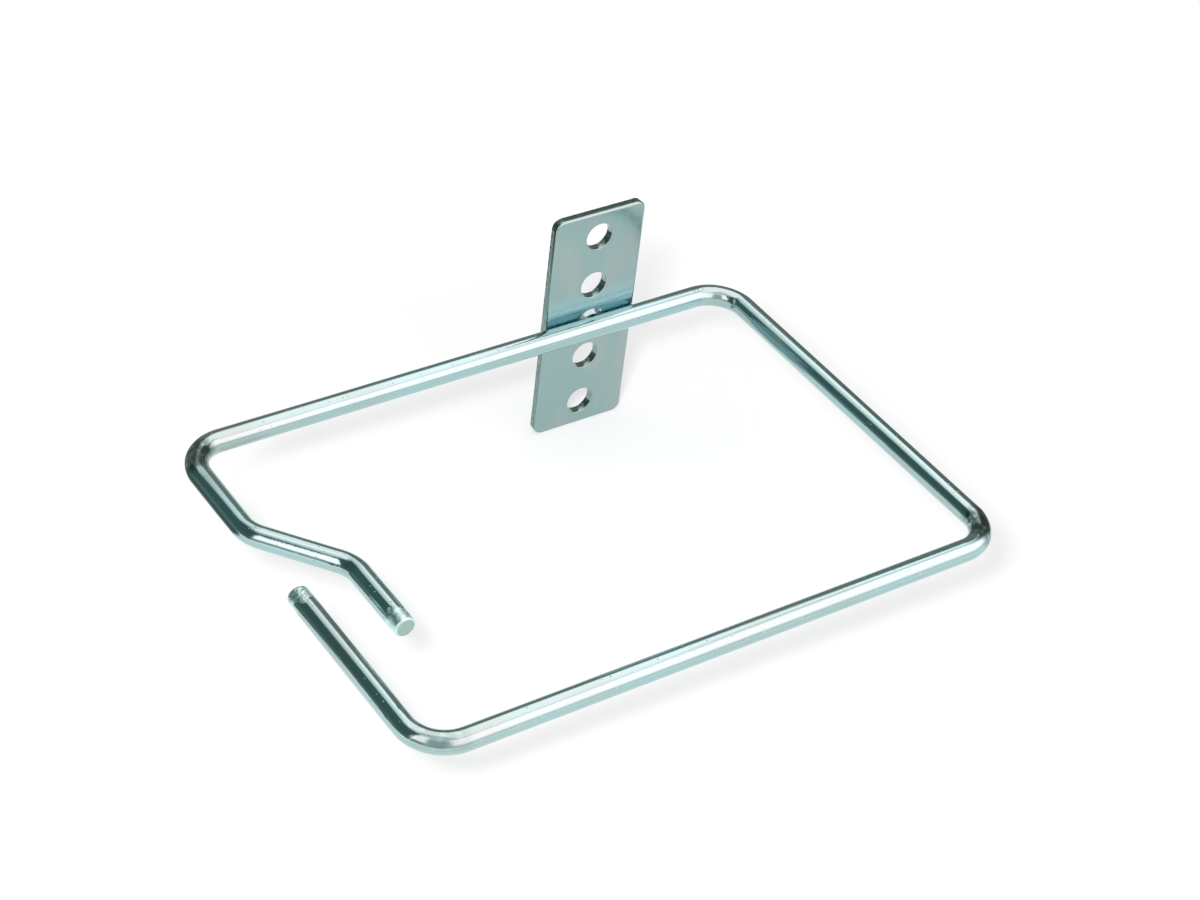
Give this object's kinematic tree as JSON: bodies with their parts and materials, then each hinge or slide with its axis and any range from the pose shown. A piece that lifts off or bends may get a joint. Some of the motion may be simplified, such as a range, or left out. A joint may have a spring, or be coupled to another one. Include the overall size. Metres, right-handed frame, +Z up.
{
  "type": "cable management ring",
  "caption": "Open rectangular wire ring with an overlapping side entry, welded to a flat screw plate; fixed to a rack rail or cabinet frame to guide bundles of cable.",
  "frame": {"origin": "centre of the plate's back face, level with the ring", "axes": "+Y out of the back face, into the rail; +Z up along the plate; +X along the back run of wire; the ring reaches forward along -Y in the plane Z = 0"},
  "size_m": [0.14, 0.1042, 0.057],
  "materials": {
    "zinc_wire": "bright zinc plate with a blue-green passivate, glossy",
    "zinc_plate": "zinc plate with a blue-green passivate, satin",
    "weld_zinc": "zinc plate over fused metal, uneven"
  },
  "bodies": {
    "root": {"wire_ring": "zinc_wire", "mounting_plate": "zinc_plate", "weld_nugget": "weld_zinc"}
  },
  "joints": []
}
